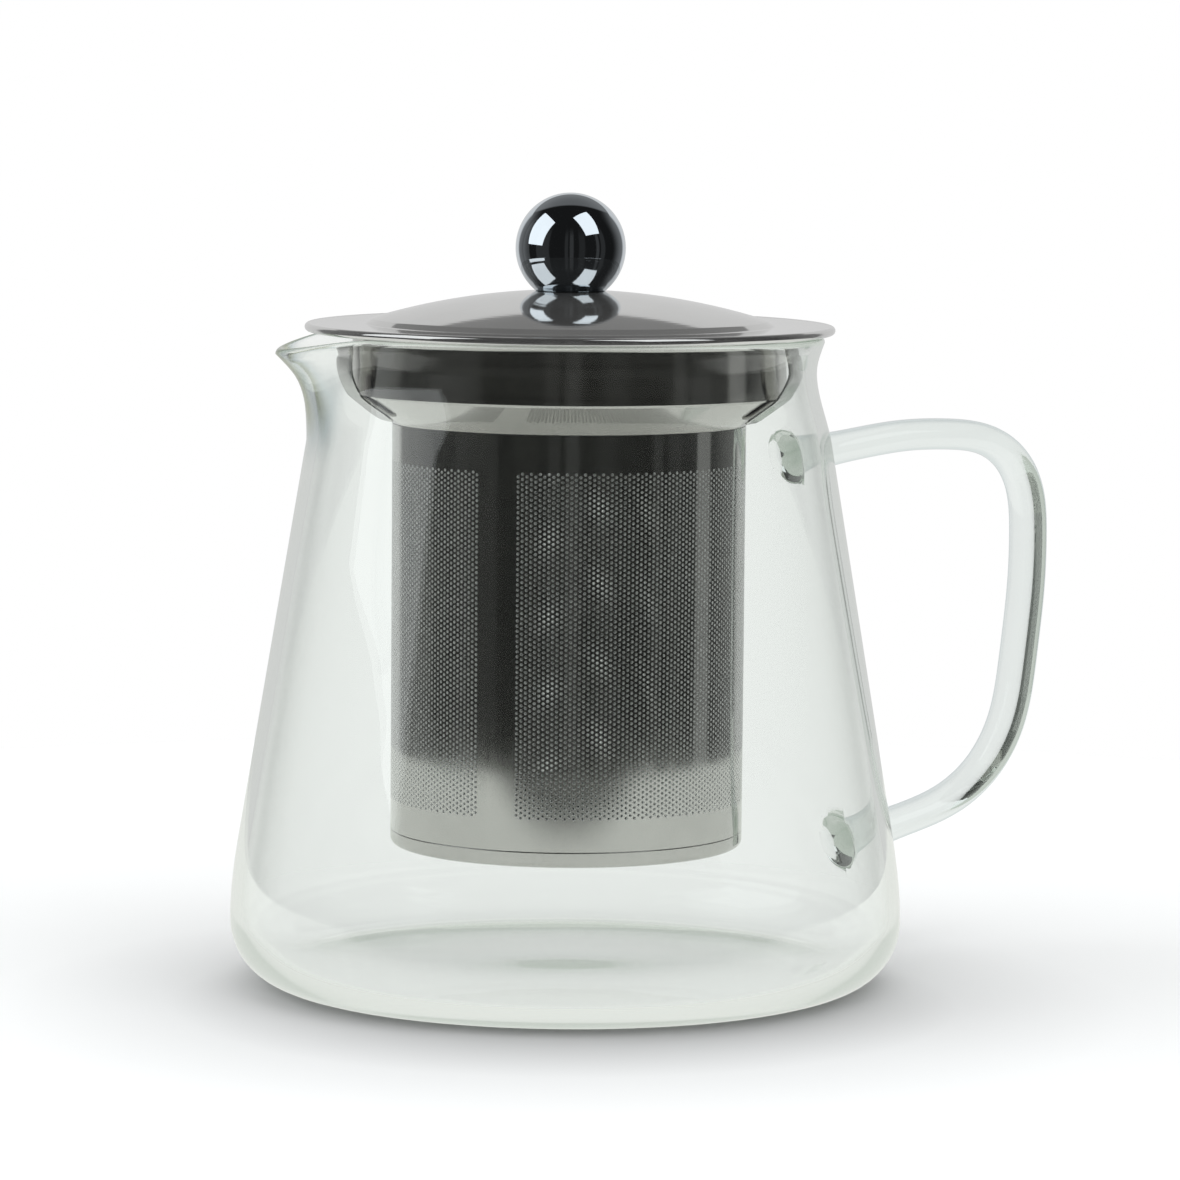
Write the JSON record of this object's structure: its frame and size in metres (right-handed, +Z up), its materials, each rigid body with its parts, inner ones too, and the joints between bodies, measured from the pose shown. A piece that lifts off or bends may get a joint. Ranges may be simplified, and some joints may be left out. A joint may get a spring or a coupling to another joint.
{
  "type": "teapot infuser",
  "caption": "Cone-sided clear glass teapot with pulled spout and loop handle, lift-out perforated steel infuser held by spring clips, and a domed steel lid with a ball knob.",
  "frame": {"origin": "centre of the pot's flat underside", "axes": "+Z up out of the pot, -X towards the spout; the handle leaves 20 degrees from +X towards +Y"},
  "size_m": [0.1455, 0.113, 0.1325],
  "materials": {
    "glass": "clear blown glass",
    "infuser_steel": "satin rolled sheet",
    "clip_steel": "bright spring strip",
    "lid_steel": "spun and polished",
    "knob_chrome": "mirror polished",
    "fixing_steel": "plain"
  },
  "bodies": {
    "pot": {"glass_body": "glass", "glass_handle": "glass"},
    "infuser": {"infuser_collar": "infuser_steel", "infuser_tube": "infuser_steel", "infuser_base": "infuser_steel"},
    "lid": {"lid_shell": "lid_steel", "lid_skirt": "lid_steel", "knob_ball": "knob_chrome", "knob_insert": "fixing_steel", "knob_screw": "fixing_steel", "knob_washer": "fixing_steel"},
    "clip_left": {"clip_left": "clip_steel"},
    "clip_right": {"clip_right": "clip_steel"},
    "clip_back": {"clip_back": "clip_steel"}
  },
  "joints": [
    {"name": "infuser_lift", "type": "slide", "parent": "pot", "child": "infuser", "axis": [0, 0, 1], "range_m": [0, 0.1]},
    {"name": "lid_lift", "type": "slide", "parent": "infuser", "child": "lid", "axis": [0, 0, 1], "range_m": [0, 0.04]},
    {"name": "clip_left_flex", "type": "hinge", "parent": "infuser", "child": "clip_left", "pos_m": [-0.03541, -0.00753, 0.0989], "axis": [0.2079, -0.9781, 0], "range_deg": [-6, 0], "stiffness_Nm_per_rad": 0.2},
    {"name": "clip_right_flex", "type": "hinge", "parent": "infuser", "child": "clip_right", "pos_m": [0.03196, -0.01699, 0.0989], "axis": [0.4695, 0.8829, 0], "range_deg": [-6, 0], "stiffness_Nm_per_rad": 0.2},
    {"name": "clip_back_flex", "type": "hinge", "parent": "infuser", "child": "clip_back", "pos_m": [0.00504, 0.03585, 0.0989], "axis": [-0.9903, 0.1392, 0], "range_deg": [-6, 0], "stiffness_Nm_per_rad": 0.2}
  ]
}
